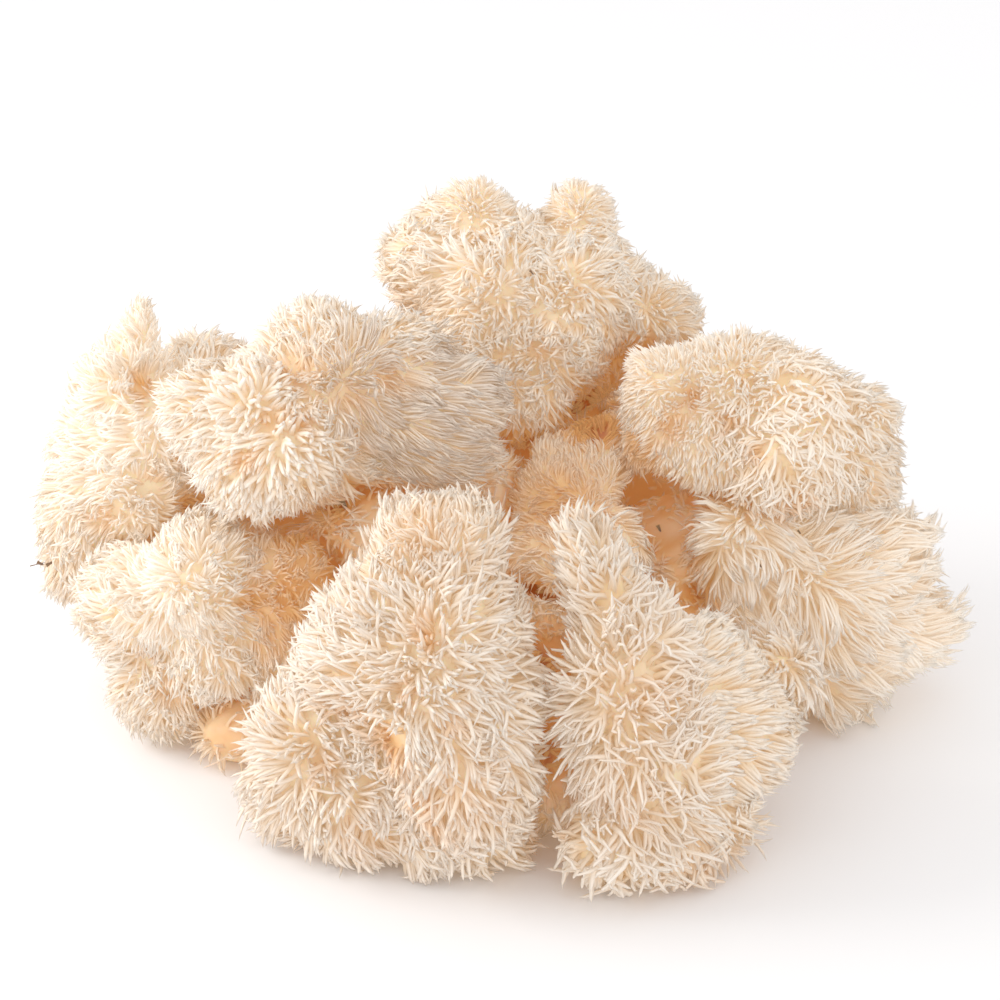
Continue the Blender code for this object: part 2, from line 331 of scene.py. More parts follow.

# %% [markdown]
# ## Painted shade and painted light
#
# Some crevices get more painted amber shade than their depth alone gives, for the warmer light that
# comes out of the flesh there. Other lobes are so thin that light comes through them from behind,
# and there painted light pales them. A groomer would paint both on as masks. Here each is a spot: a
# pixel of the photo, a radius in millimetres, and an amount, which is below 0 for painted light.

# %% Spots of painted shade and painted light
PAINTED_SPOTS_SEEN = [
    # the fissure, the middle and the hollow over it
    ((540, 590), 10, 0.9), ((540, 660), 13, 1.4), ((540, 750), 13, 1.4), ((588, 408), 10, 2.0),
    ((570, 405), 8, 1.6), ((600, 425), 8, 1.4), ((585, 432), 8, 1.2), ((610, 402), 6, 1.0),
    ((560, 500), 16, 0.9), ((660, 560), 14, 0.5), ((690, 600), 8, 0.6), ((530, 440), 9, 0.8),
    # between the lobes on the left
    ((290, 600), 15, 1.0), ((300, 540), 11, 0.6), ((265, 645), 9, 0.4), ((340, 505), 8, 1.2),
    ((225, 730), 9, 0.4), ((188, 452), 6, 1.1), ((150, 480), 6, 0.6), ((104, 515), 7, 0.7),
    ((188, 508), 5, 1.0), ((150, 650), 6, 0.7), ((170, 685), 5, 0.8), ((143, 385), 6, 1.0),
    ((240, 460), 3, 0.8), ((287, 373), 5, 0.4), ((300, 375), 7, 0.35), ((268, 420), 4, 0.8),
    ((255, 455), 3, 0.8), ((300, 420), 4, 0.8), ((390, 375), 5, 0.6), ((245, 605), 5, 0.7),
    # on the cone
    ((390, 745), 7, 0.8), ((425, 800), 5, 0.9), ((430, 640), 3, 0.8), ((350, 715), 5, 0.6),
    ((377, 718), 4, 0.6), ((397, 775), 4, 0.7), ((435, 825), 4, 0.6), ((350, 706), 4, 0.4),
    ((325, 696), 4, 0.3), ((448, 716), 3, 0.6), ((405, 690), 4, 0.4), ((424, 625), 3, 0.5),
    ((320, 765), 4, 0.5), ((425, 540), 13, 0.3), ((460, 790), 14, 0.25), ((360, 830), 8, 0.3),
    # on the heads above
    ((482, 235), 4, 0.5), ((492, 262), 4, 0.4), ((545, 215), 4, 0.6), ((540, 345), 5, 0.4),
    ((615, 340), 6, 0.5), ((350, 395), 4, 0.5), ((345, 440), 4, 0.5), ((330, 480), 5, 0.6),
    # on the right
    ((693, 400), 5, 0.9), ((672, 425), 5, 0.9), ((640, 448), 6, 0.9), ((730, 415), 4, 0.9),
    ((760, 450), 4, 0.7), ((790, 500), 7, 0.8), ((845, 545), 7, 0.5), ((800, 640), 12, 0.25),
    ((700, 610), 10, 0.3), ((870, 490), 8, 0.4), ((640, 690), 12, 0.2), ((620, 790), 12, 0.2),
    ((700, 860), 12, 0.3),
    # thin places, painted lighter where light comes through
    ((90, 430), 34, -1.0), ((150, 600), 28, -0.85), ((120, 345), 20, -1.0), ((220, 420), 16, -0.5),
    ((690, 360), 22, -0.4), ((800, 400), 24, -0.5), ((570, 800), 14, -0.2), ((470, 250), 20, -0.5),
    ((560, 230), 20, -0.3), ((870, 550), 26, -0.6), ((900, 650), 26, -0.8), ((760, 570), 24, -0.35),
    ((820, 680), 20, -0.35),
]
painted_spot_places = [(landing(pixel)[1], radius * MM, amount) for pixel, radius, amount in PAINTED_SPOTS_SEEN]
print(len(painted_spot_places), "stains and thin places")

# %% [markdown]
# ## Dark bits
#
# The photo shows a few dark specks and slivers, hanging in the teeth or stuck to the edge. Dirt could
# be painted on, but these have a form and cast a shadow, so each is a tube like a tooth, laid from one
# pixel to another. Its height says how far above the flesh it hangs, on its neighbours' tips.

# %% Bits: from pixel to pixel, width, and height over the flesh, in millimetres
BITS_SEEN = [
    ((30, 566), (46, 562), 0.25, 0), ((37, 562), (44, 565), 0.8, 0), ((46, 565), (54, 561), 0.8, 0),
    ((658, 525), (661, 532), 0.8, 0.3), ((798, 530), (801, 534), 0.5, 2.5),
    ((785, 495), (789, 499), 0.5, 2.5), ((759, 563), (762, 568), 0.4, 2.5),
    ((739, 578), (742, 583), 0.4, 2.5), ((620, 492), (622, 497), 0.5, 2.5),
    ((629, 505), (632, 509), 0.4, 2.5), ((530, 270), (534, 275), 0.5, 3),
    ((342, 500), (347, 510), 1.2, 1.5),
]
bit_places = {node: [] for node in skins}
for start, end, width, height in BITS_SEEN:
    node, place = landing(end)
    depth = (Vector(place) - EYE).length - height * MM
    ends = [np.array(EYE + depth * sight(*pixel)) for pixel in (start, end)]
    bit_places[node].append((*ends, width * MM))
print(len(BITS_SEEN), "dark bits on", ", ".join(node for node in skins if bit_places[node]))

# %% [markdown]
# ## How the teeth lie
#
# Teeth are not combed all one way. They part at crowns, like the hair on a head, and flow away from
# each crown until they meet those of the next, where they tangle. Where the photo shows the way they
# lie, an arrow says so: a pixel, and an angle in degrees, which is 0 to the right and 90 up. A groomer
# combs hair by such strokes too. Elsewhere the crowns decide. On the hidden sides crowns are spread
# out evenly: each next one goes where the others are farthest.

# %% Strokes of the comb
STROKES_SEEN = {
    "front_left_branch": [
        (430, 520, 92), (380, 535, 112), (360, 585, 140), (345, 625, 140), (320, 655, 145), (370, 640, 125),
        (420, 600, 100), (470, 570, 62), (490, 620, 28), (505, 645, 5), (480, 668, 25), (520, 695, -12),
        (515, 730, 15), (530, 768, -25), (500, 790, -60), (460, 815, -75), (425, 800, -105), (435, 755, -85),
        (450, 720, -48), (415, 690, -55), (365, 675, 150), (265, 705, 115), (300, 700, 98), (340, 705, 75),
        (355, 735, 25), (375, 762, -8), (370, 795, -45), (330, 800, -72), (285, 795, -112), (255, 755, 172),
        (400, 828, -48), (345, 845, -65), (300, 822, -112), (470, 862, -60),
    ],
    "front_right_branch": [
        (565, 520, 100), (590, 560, 75), (575, 600, 85), (600, 620, 60), (565, 660, 120), (590, 690, 20),
        (640, 640, 40), (640, 680, 25), (680, 690, 12), (650, 740, 10), (600, 750, -60), (575, 760, -100),
        (700, 740, 5), (660, 790, -20), (610, 810, -70), (700, 800, -25), (740, 700, 15), (750, 760, -20),
    ],
    "left_rear_branch": [
        (140, 310, 85), (120, 350, 125), (80, 400, 150), (60, 470, 185), (75, 520, 245), (110, 430, 200),
    ],
    "upper_left_branch": [
        (180, 400, 180), (170, 430, 215), (200, 455, 255), (195, 370, 120), (250, 495, 255), (300, 480, 300),
        (330, 350, 100), (345, 400, 285), (400, 420, -8), (450, 400, -5), (480, 440, -12), (400, 460, -15),
        (440, 360, 5),
    ],
    "lower_left_branch": [
        (165, 545, 90), (110, 525, 110), (215, 530, 60), (235, 565, 40), (100, 590, 175), (100, 650, 190),
        (190, 650, 285), (160, 690, 300), (215, 640, 330), (130, 700, 250), (300, 540, 50),
    ],
    "right_top_branch": [
        (630, 370, 185), (615, 400, 200), (650, 348, 110), (650, 410, 250), (680, 370, 60), (665, 445, 205),
        (700, 475, 275), (685, 485, 250), (725, 375, 190), (710, 395, 215), (770, 355, 60), (740, 430, 268),
        (790, 450, 265), (825, 470, 280), (860, 430, 300), (840, 385, 30), (890, 400, 15), (885, 470, 330),
    ],
    "right_lower_branch": [
        (685, 520, 195), (720, 570, 300), (760, 570, 280), (800, 600, 260), (750, 620, 305), (840, 560, 15),
        (900, 560, 10), (880, 600, 5), (850, 670, 12), (930, 650, 12), (930, 690, -15), (820, 680, -20),
    ],
}
STROKE_REACH = 8 * MM  # how far a stroke combs round it
stroke_places = {node: [] for node in skins}
for node, strokes in STROKES_SEEN.items():
    for px, py, degrees in strokes:
        angle = math.radians(degrees)
        way = math.cos(angle) * Vector((1, 0, 0)) + math.sin(angle) * CAMERA_UP
        stroke_places[node].append((landing_on(node, (px, py)), np.array(way)))
print(sum(len(strokes) for strokes in stroke_places.values()), "strokes")

# %% Crowns
CROWNS_SEEN = [
    (412, 610), (468, 760), (337, 745), (280, 725), (375, 832), (478, 850),
    (571, 570), (598, 650), (614, 740), (622, 855), (700, 750), (600, 500),
    (242, 403), (280, 445), (251, 474), (328, 352), (175, 397), (123, 500), (165, 570), (215, 640),
    (100, 400), (146, 350), (70, 470), (486, 298), (562, 289), (470, 200), (578, 205), (522, 365),
    (665, 310), (652, 375), (692, 445), (790, 385), (740, 360), (680, 520), (831, 600),
]
CROWN_SPACING = 30 * MM  # between crowns on the sides that the photo hides
crown_places = {node: [] for node in skins}
for pixel in CROWNS_SEEN:
    node, place = landing(pixel)
    crown_places[node].append(place)
print(", ".join(f"{node}: {len(places)} crowns seen" for node, places in crown_places.items()))


def crowns_of(node, places):
    """The crowns that the photo shows, then more until no place is far from one."""
    crowns = crown_places[node] or [places[places[:, 2].argmax()]]
    while True:
        far = np.min([np.linalg.norm(places - c, axis=1) for c in crowns], axis=0)
        if far.max() < CROWN_SPACING:
            return np.array(crowns)
        crowns = [*crowns, places[far.argmax()]]


# %% [markdown]
# ## From spots to the whole surface
#
# On a real one nothing changes at a line. So every patch, stroke and spot of painted shade or light
# fades with distance, and where several reach the same place they blend. Vertex groups could hold such
# masks, but teeth stand between the corners of the mesh, so the masks are worked out at the roots
# themselves.

# %% What the coats, the strokes and the spots of painted shade and light come to at any place
PATCH_EDGE = (0.65, 1.1)  # a patch of coat fades out between these shares of its radius
SPOT_EDGE = 1.15  # a spot of painted shade or light fades from its middle to this share of its radius
CREVICE = (0.06, 0.5)  # openness: full painted amber shade below the first, none above the second
DISAGREEMENT = 1.3  # how much strokes that cross each other count as a crown


def coats_on(node, places):
    """How much of each kind of coat there is at each place."""
    weights = np.zeros((len(places), len(KINDS)))
    for kind, centre, radius in coat_places[node]:
        here = 1 - smoothstep(*PATCH_EDGE, np.linalg.norm(places - centre, axis=1) / radius)
        column = KINDS.index(kind)
        weights[:, column] = np.maximum(weights[:, column], here)
    ground = KINDS.index(GROUND_COAT.get(node, "shaggy"))
    weights[:, ground] += np.clip(1 - weights.sum(axis=1), 0, 1)
    return weights / weights.sum(axis=1)[:, None]


def combed(node, places):
    """Which way the strokes comb each place, longer the nearer they are, and how much they disagree."""
    comb = np.zeros((len(places), 3))
    near = np.zeros(len(places))
    for centre, way in stroke_places[node]:
        share = np.exp(-((places - centre) ** 2).sum(axis=1) / STROKE_REACH**2)
        comb += share[:, None] * way
        near += share
    agreed = np.linalg.norm(comb, axis=1) / np.maximum(near, 1e-6)
    return comb, np.clip(DISAGREEMENT * (1 - agreed), 0, 1) * np.minimum(1, near)


def painted_spots(places):
    """How much painted amber shade the spots add at each place, and how much painted light they give."""
    more, through = np.zeros(len(places)), np.zeros(len(places))
    for centre, radius, amount in painted_spot_places:
        far = np.linalg.norm(places - centre, axis=1) / radius
        here = abs(amount) * (1 - smoothstep(0.0, SPOT_EDGE, far))
        if amount > 0:
            more += here
        else:
            through = np.maximum(through, here)
    return more, through


def amber_at(places, opened):
    """Painted amber shade at each place: 1 in a crevice, 2 in the deepest hollow, below 0 painted light."""
    more, through = painted_spots(places)
    amber = np.clip(1 - smoothstep(*CREVICE, opened) + more, 0, 2)
    return amber - through * np.clip(1 - amber, 0, 1)


print("amber:", ", ".join(
    f"{node} {amber_at(points_of(mesh), openness[node]).mean():.2f}" for node, mesh in skins.items()))

# %% [markdown]
# ## Growing the teeth
#
# Roots are strewn over the flesh by area. A tooth leaves the flesh steeply, then bends over and
# lies along the flow. Its middle line is a parabola: it sets off in one direction and ends in
# another. Round that line goes a three-sided tube, widest where it leaves the flesh, with a blunt
# tip. Three sides are enough, because a tooth is only a few pixels thick, and smooth shading
# rounds it. Near its root a tooth also takes light as the flesh under it does: its normals lean
# towards the flesh's. Light that enters a real tooth comes out of its neighbours, and without
# this every tooth had a hard dark side.
#
# Neighbouring teeth cling together with moisture. One in ten leads a lock: the lock turns with its
# leader, and its tips are drawn towards the leader's, which leaves partings, as in the photo.
#
# Particles or hair curves would be the usual way to make fur, but these teeth are solid things that
# have to last as a mesh, so they are worked out together with numpy and written as one mesh.

# %% Roots
def unit(v):
    return v / np.maximum(np.linalg.norm(v, axis=1), 1e-9)[:, None]


def strewn(mesh, shares, per_mm2, chance):
    """Points strewn evenly over a mesh of quads, with the smooth normal and the openness at each."""
    quads = np.array([p.vertices[:] for p in mesh.polygons])
    corners, corner_normals = points_of(mesh), points_of(mesh, "vertices", "normal")
    edges = np.cumsum([p.area for p in mesh.polygons])
    count = int(edges[-1] / MM**2 * per_mm2)
    quad = quads[np.searchsorted(edges, (np.arange(count) + chance.random(count)) / count * edges[-1])]
    u, v = chance.random((2, count, 1))
    parts = [(1 - u) * (1 - v), u * (1 - v), u * v, (1 - u) * v]
    points = sum(part * corners[quad[:, i]] for i, part in enumerate(parts))
    normals = sum(part * corner_normals[quad[:, i]] for i, part in enumerate(parts))
    opened = sum(part[:, 0] * shares[quad[:, i]] for i, part in enumerate(parts))
    return points, unit(normals), opened


def nearest(of, among):
    """For each point, the index of the nearest among others."""
    tree = KDTree(len(among))
    for i, point in enumerate(among):
        tree.insert(point, i)
    tree.balance()
    return np.array([tree.find(point)[1] for point in of])


print("flesh to grow on:", round(sum(p.area for m in skins.values() for p in m.polygons) * 1e4), "square cm")

# %% Where teeth grow
DARK = 0.015  # less open than this, nothing grows
LOWEST = 3 * MM  # below this height, nothing grows on flesh that faces down
CROWN_MIDDLE, CROWN_RADIUS = 1 * MM, 7 * MM  # teeth stand up and tangle, less from the first to the second
SPARSEST = 0.45  # the share of its teeth that a coat has in a crevice
FACES_DOWN = -0.3  # flesh whose normal's height is less than this faces down


def rooted(node, chance):
    """The roots of a branch's teeth with what the flesh is like at each, and the branch's crowns."""
    most = trait("density").max()
    roots, normals, opened = strewn(skins[node], openness[node], most, chance)
    weights = coats_on(node, roots)
    comb, unsure = combed(node, roots)
    crowns = crowns_of(node, roots)
    near = np.min([np.linalg.norm(roots - c, axis=1) for c in crowns], axis=0)
    uncombed = 1 - np.minimum(1, np.linalg.norm(comb, axis=1))
    at_crown = np.maximum((1 - smoothstep(CROWN_MIDDLE, CROWN_RADIUS, near)) * uncombed, unsure)
    thinning = SPARSEST + (1 - SPARSEST) * smoothstep(0.06, 0.3, opened)
    grows = chance.random(len(roots)) < (weights @ trait("density")) * thinning / most
    grows &= opened > DARK
    grows &= (roots[:, 2] > LOWEST) | (normals[:, 2] > FACES_DOWN)
    here = {"root": roots, "normal": normals, "opened": opened, "weights": weights, "comb": comb,
            "at_crown": at_crown}
    return {what: values[grows] for what, values in here.items()}, crowns


# %% Which way they lie
SWIRLS = ((11 * MM, 0.6), (4 * MM, 0.35))  # how wide each is, and how far it turns the flow
LOCKS_STRAY, TEETH_STRAY, CROWNS_STRAY = 1.2, 0.45, 1.6  # how far each strays from the flow
STROKES_WIN = 0.8  # how much less crowns count where there are strokes


def along_surface(v, normals):
    return v - (v * normals).sum(axis=1)[:, None] * normals


def swirl(points, size):
    """A smooth turn over the surface, so that no two crowns look alike."""
    x, y, z = (points / size).T
    return np.sin(x + 1.7 * np.sin(0.8 * z)) * np.cos(0.9 * z + y) + 0.6 * np.sin(1.9 * y - 1.3 * x + z)


def flow_of(here, own, crowns, lock, locks, chance):
    """The direction along the flesh in which each tooth lies, away from crowns and as it is combed."""
    away = here["root"][:, None, :] - crowns[None, :, :]
    far = np.linalg.norm(away, axis=2)
    pull = 1 / np.maximum(far, 0.5 * MM) ** 3
    flow = unit(along_surface((away * pull[:, :, None]).sum(axis=1), here["normal"]))
    comb = along_surface(here["comb"], here["normal"])
    groomed = np.minimum(1, 1.5 * np.linalg.norm(comb, axis=1))
    flow = unit(0.25 * flow * (1 - STROKES_WIN * groomed)[:, None] + comb)
    lock_turn = chance.normal(size=locks)[lock]
    turn = sum(much * swirl(here["root"], wide) for wide, much in SWIRLS)
    turn *= np.minimum(1, own["tangle"] / 0.3) * (1 - 0.7 * groomed)
    own_turn = chance.normal(size=len(lock))
    turn += LOCKS_STRAY * own["tangle"] * lock_turn + TEETH_STRAY * own["tangle"] * own_turn
    turn += CROWNS_STRAY * here["at_crown"] * chance.normal(size=len(lock))
    aside = np.cross(here["normal"], flow)
    return flow * np.cos(turn)[:, None] + aside * np.sin(turn)[:, None]


# %% How long they are
LENGTHS_VARY = (0.13, 0.16)  # from lock to lock, and from tooth to tooth
LONGEST = 1.3  # no tooth is longer than this many times the length that its coat gives it
SHORTEST = 0.45  # the share of its length that a tooth has in a crevice
SHORTER_ON_PAINTED_SPOT = 0.35  # how much shorter teeth are on a spot of painted shade


def length_of(here, own, lock, locks, chance):
    """How long each tooth is. It is shorter in the dark and on a spot of painted shade."""
    length = own["length"] * MM * chance.normal(1, LENGTHS_VARY[0], locks).clip(0.6, 1.4)[lock]
    length *= chance.normal(1, LENGTHS_VARY[1], len(lock)).clip(0.5, 1.5)
    length = np.minimum(length, LONGEST * own["length"] * MM)
    length *= SHORTEST + (1 - SHORTEST) * smoothstep(0.05, 0.35, here["opened"])
    return length * (1 - SHORTER_ON_PAINTED_SPOT * np.minimum(1, painted_spots(here["root"])[0]))


# %% Everything about the teeth of a branch
LOCK = 10  # teeth in a lock
STAND_AT_CROWN = 0.7  # how much less teeth lie down at a crown
LEAN_VARIES = (0.12, 0.1)  # from lock to lock, and from tooth to tooth
FLATTEST = 0.97
MOST_DRAWN = 0.4  # a lock draws a tip aside by at most this share of its tooth's length
ROOT_DEPTH = 1.5 * FLESH_DEPTH  # how far under the skin a tooth starts


def grow(node, chance):
    """Everything about a branch's teeth, as arrays with one row per tooth."""
    here, crowns = rooted(node, chance)
    roots, normals = here["root"], here["normal"]
    count = len(roots)
    own = {name: here["weights"] @ trait(name) for name in USUAL}
    own["rings"] = trait("rings")[here["weights"].argmax(axis=1)].astype(int)
    locks = max(1, count // LOCK)
    leaders = chance.choice(count, locks, replace=False)
    lock = nearest(roots, roots[leaders])
    flow = flow_of(here, own, crowns, lock, locks, chance)

    flat = own["flat"] * (1 - STAND_AT_CROWN * here["at_crown"])
    flat += LEAN_VARIES[0] * chance.normal(size=locks)[lock] + LEAN_VARIES[1] * chance.normal(size=count)
    flat = np.clip(flat, 0.05, FLATTEST)[:, None]
    down = np.array([0, 0, -1.0]) * own["droop"][:, None]
    start = unit(normals * (1 - 0.5 * flat) + flow * 0.5 * flat)
    end = unit(normals * (1 - flat) + flow * 1.1 * flat + down)
    length = length_of(here, own, lock, locks, chance)

    tips = roots + length[:, None] * (start + end) / 2
    shift = (tips[leaders][lock] - tips) * (own["cling"] * chance.uniform(0.5, 1.2, count))[:, None]
    size = np.maximum(np.linalg.norm(shift, axis=1), 1e-9)
    shift *= np.minimum(1, MOST_DRAWN * length / size)[:, None]
    return {
        "root": roots - normals * ROOT_DEPTH, "normal": normals, "start": start, "end": end,
        "length": length, "shift": shift,
        "width": own["width"] * MM * chance.normal(1, 0.12, count).clip(0.6, 1.4),
        "curl": own["curl"] * chance.normal(size=count), "wave": own["wave"] * MM,
        "rings": own["rings"], "soft": own["soft"][:, None],
        # deep is the painted amber shade; below 0 it is painted light
        "deep": amber_at(roots, here["opened"]), "grey": own["grey"],
        "shade": 0.5 * chance.random(locks)[lock] + 0.5 * chance.random(count),
        "bit": np.zeros(count),
    }


# %% Bits among the teeth
TOWARDS_CAMERA = np.array(-sight(PHOTO_SIDE / 2, PHOTO_SIDE / 2))


def with_bits(node, teeth):
    """The teeth of a branch, followed by the dark bits caught in them, described as teeth are."""
    for start, end, width in bit_places[node]:
        length = np.linalg.norm(end - start)
        way = (end - start) / length
        bit = {"root": start, "start": way, "end": way, "normal": TOWARDS_CAMERA, "length": length,
               "width": width, "rings": 3, "bit": 1}
        teeth = {what: np.concatenate([values, np.full_like(values[:1], bit.get(what, 0))])
                 for what, values in teeth.items()}
    return teeth


print("bits face the camera:", TOWARDS_CAMERA.round(2))

# %% The tubes of all the teeth of one branch, as one mesh
RINGS = {2: (0, 0.66), 3: (0, 0.42, 0.8), 5: (0, 0.25, 0.5, 0.75, 0.93)}  # how far along, by their number
SIDES = 3
FLARE = 0.45  # how much wider a tooth is at its root
TAPER = 0.2  # how much narrower it is near its tip, where it ends bluntly
ROOT_LEAN, TIP_LEAN = 1.3, 0.2  # how far normals lean to the flesh's, times how soft the coat looks
WAVE_TURN = 8  # radians that a wavy tooth winds through from root to tip
CLEAR_OF_TABLE = 0.35 * MM


def middle_line(teeth, t):
    """Where each tooth's middle line is, a share t of the way from root to tip."""
    length = teeth["length"][:, None]
    bend = teeth["start"] * t + (teeth["end"] - teeth["start"]) * t * t / 2
    phase = 2 * math.pi * teeth["shade"] * 7  # as good as random, but the same each time it is asked for
    sway = teeth["wave"] * t * (np.sin(WAVE_TURN * t + phase) - np.sin(phase))
    aside = unit(np.cross(teeth["start"], teeth["end"]) + 1e-6)
    line = teeth["root"] + length * bend + teeth["shift"] * t * t
    line += aside * (sway + teeth["curl"] * teeth["length"] * t * t * 0.5)[:, None]
    line[:, 2] = np.maximum(line[:, 2], CLEAR_OF_TABLE + 0.5 * teeth["width"])
    return line


def tubes(teeth, rings):
    """Points of one tapering tube per tooth, the faces of one tube, and how far along each point is."""
    lines = [middle_line(teeth, t) for t in (*rings, 1.0)]
    side = unit(np.cross(lines[-1] - lines[0], teeth["start"] + 0.01))
    rows, normals = [], []
    for i, t in enumerate(rings):
        out = unit(np.cross(unit(lines[i + 1] - lines[i]), side))
        thick = 0.5 * teeth["width"] * (1 - TAPER * t + FLARE * (1 - t) ** 4) * math.sqrt(1 - t**8)
        lean = (ROOT_LEAN + (TIP_LEAN - ROOT_LEAN) * t) * teeth["soft"] * teeth["normal"]
        for s in range(SIDES):
            angle = 2 * math.pi * s / SIDES
            round_it = math.cos(angle) * side + math.sin(angle) * out
            rows.append(lines[i] + thick[:, None] * round_it)
            normals.append(unit(round_it + lean))
    rows.append(lines[-1])
    normals.append(unit(lines[-1] - lines[-2]) + TIP_LEAN * teeth["soft"] * teeth["normal"])
    faces = [list(range(SIDES))[::-1]]
    for i in range(len(rings) - 1):
        for s in range(SIDES):
            a, b = i * SIDES + s, i * SIDES + (s + 1) % SIDES
            faces.append([a, b, b + SIDES, a + SIDES])
    last = (len(rings) - 1) * SIDES
    for s in range(SIDES):
        faces.append([last + s, last + (s + 1) % SIDES, len(rows) - 1])
    along = [t for t in rings for _ in range(SIDES)] + [1.0]
    return np.stack(rows, axis=1), np.stack(normals, axis=1), faces, along


for rings in RINGS:
    print(f"a tooth of {rings} rings has {2 * SIDES * rings - 2} triangles")

# %% One mesh of a branch's teeth
FACTS = ("shade", "deep", "grey", "bit")  # what the material needs to know about a tooth


def tooth_mesh(name, teeth):
    """A mesh of every tooth's tube, with the facts and how far along its tooth each point is."""
    points, normals, corners, starts = [], [], [], []
    facts = {"along": [], **{fact: [] for fact in FACTS}}
    point_count = corner_count = 0
    for rings in sorted(set(teeth["rings"])):
        group = {what: values[teeth["rings"] == rings] for what, values in teeth.items()}
        tube_points, tube_normals, faces, along = tubes(group, RINGS[rings])
        count, per_tube = tube_points.shape[:2]
        per_face = np.array([len(f) for f in faces])
        tube_corners = np.concatenate(faces)
        tube_starts = np.cumsum(per_face) - per_face
        index = np.arange(count)[:, None]
        corners.append((point_count + index * per_tube + tube_corners).ravel())
        starts.append((corner_count + index * len(tube_corners) + tube_starts).ravel())
        points.append(tube_points.reshape(-1, 3))
        normals.append(unit(tube_normals.reshape(-1, 3)))
        facts["along"].append(np.tile(along, count))
        for fact in FACTS:
            facts[fact].append(np.repeat(group[fact], per_tube))
        point_count += count * per_tube
        corner_count += count * len(tube_corners)
    mesh = bpy.data.meshes.new(name)
    mesh.vertices.add(point_count)
    mesh.vertices.foreach_set("co", np.concatenate(points).astype(np.float32).ravel())
    mesh.loops.add(corner_count)
    mesh.loops.foreach_set("vertex_index", np.concatenate(corners).astype(np.int32))
    all_starts = np.concatenate(starts).astype(np.int32)
    mesh.polygons.add(len(all_starts))
    mesh.polygons.foreach_set("loop_start", all_starts)
    mesh.update(calc_edges=True)
    mesh.shade_smooth()
    mesh.normals_split_custom_set_from_vertices(np.concatenate(normals).astype(np.float32))
    for fact, parts in facts.items():
        values = np.concatenate(parts).astype(np.float32)
        mesh.attributes.new(fact, "FLOAT", "POINT").data.foreach_set("value", values)
    return mesh


# %% [markdown]
# ## Materials
#
# Light goes some way into this flesh and comes out warmer. So a tooth is painted honey-coloured at its
# root, as painted shade warmed by the light that has come through its neighbours, and nearly white at
# its tip. The mesh says how far along its tooth a point is, and a shader node group turns that into
# colour. The flesh has a group too, because each group serves two materials, a paler one and a deeper
# one. For the teeth the deeper one is painted shade: a darker copy for the branches that lie behind,
# between or under others.
#
# The flesh has subsurface scattering. The teeth do without: light bounces from tooth to tooth anyway,
# and on tubes thinner than its reach, scattering turned the shadows between them blue. A faint glow is
# painted light: it stands for the light that has come through the flesh, amber at roots and in
# crevices, white in thin places. Textures could be painted for all this, but here everything follows
# from where things grow.

# %% Shader node helpers
def linear(red, green, blue):
    """A colour given as it looks on screen, 0 to 255, as the linear values that shaders use."""
    parts = [c / 255 for c in (red, green, blue)]
    return (*[c / 12.92 if c < 0.04045 else ((c + 0.055) / 1.055) ** 2.4 for c in parts], 1.0)


def put(tree, socket, value):
    """Link a socket into another, or set a plain value on it."""
    if isinstance(value, bpy.types.NodeSocket):
        tree.links.new(value, socket)
    else:
        socket.default_value = value


def attribute(tree, name):
    node = tree.nodes.new("ShaderNodeAttribute")
    node.attribute_name = name
    return node.outputs["Fac"]


def mix(tree, factor, a, b):
    node = tree.nodes.new("ShaderNodeMix")
    node.data_type = "RGBA"
    for index, value in ((0, factor), (6, a), (7, b)):
        put(tree, node.inputs[index], value)
    return node.outputs[2]


def times(tree, a, b):
    node = tree.nodes.new("ShaderNodeMath")
    node.operation = "MULTIPLY"
    put(tree, node.inputs[0], a)
    put(tree, node.inputs[1], b)
    return node.outputs[0]


def ramp(tree, value, low, high, to_low=0.0, to_high=1.0):
    """A soft step from to_low to to_high as the value goes from low to high."""
    node = tree.nodes.new("ShaderNodeMapRange")
    node.interpolation_type = "SMOOTHSTEP"
    put(tree, node.inputs["Value"], value)
    for socket, number in zip(("From Min", "From Max", "To Min", "To Max"), (low, high, to_low, to_high)):
        node.inputs[socket].default_value = number
    return node.outputs["Result"]


def noise(tree, scale, detail=2.0, roughness=0.5):
    """Noise in the object's own coordinates; scale is per metre."""
    place = tree.nodes.new("ShaderNodeTexCoord")
    node = tree.nodes.new("ShaderNodeTexNoise")
    node.inputs["Scale"].default_value = scale
    node.inputs["Detail"].default_value = detail
    node.inputs["Roughness"].default_value = roughness
    tree.links.new(place.outputs["Object"], node.inputs["Vector"])
    return node.outputs["Fac"]


COLOUR, NUMBER = "NodeSocketColor", "NodeSocketFloat"


def new_group(name, inputs, outputs):
    """A node group with named sockets, its inputs' and its outputs' nodes."""
    group = bpy.data.node_groups.new(name, "ShaderNodeTree")
    for socket, kind in inputs.items():
        group.interface.new_socket(socket, in_out="INPUT", socket_type=kind)
    for socket, kind in outputs.items():
        group.interface.new_socket(socket, in_out="OUTPUT", socket_type=kind)
    return group, group.nodes.new("NodeGroupInput").outputs, group.nodes.new("NodeGroupOutput").inputs


print("white on screen is", linear(255, 255, 255), "to a shader")

# %% Colour of a tooth from root to tip, as a node group
# painted light: the glow of the teeth, amber at the root and in crevices, near white in thin places
GLOW_AT_ROOT, GLOW_AT_TIP = (1.0, 0.62, 0.25, 1), (0.3, 0.25, 0.2, 1)
GLOW_IN_CREVICE, GLOW_WHERE_THIN = (1.25, 0.7, 0.2, 1), (1.45, 1.35, 1.15, 1)
BROWN = linear(84, 44, 22)  # of the dark bits

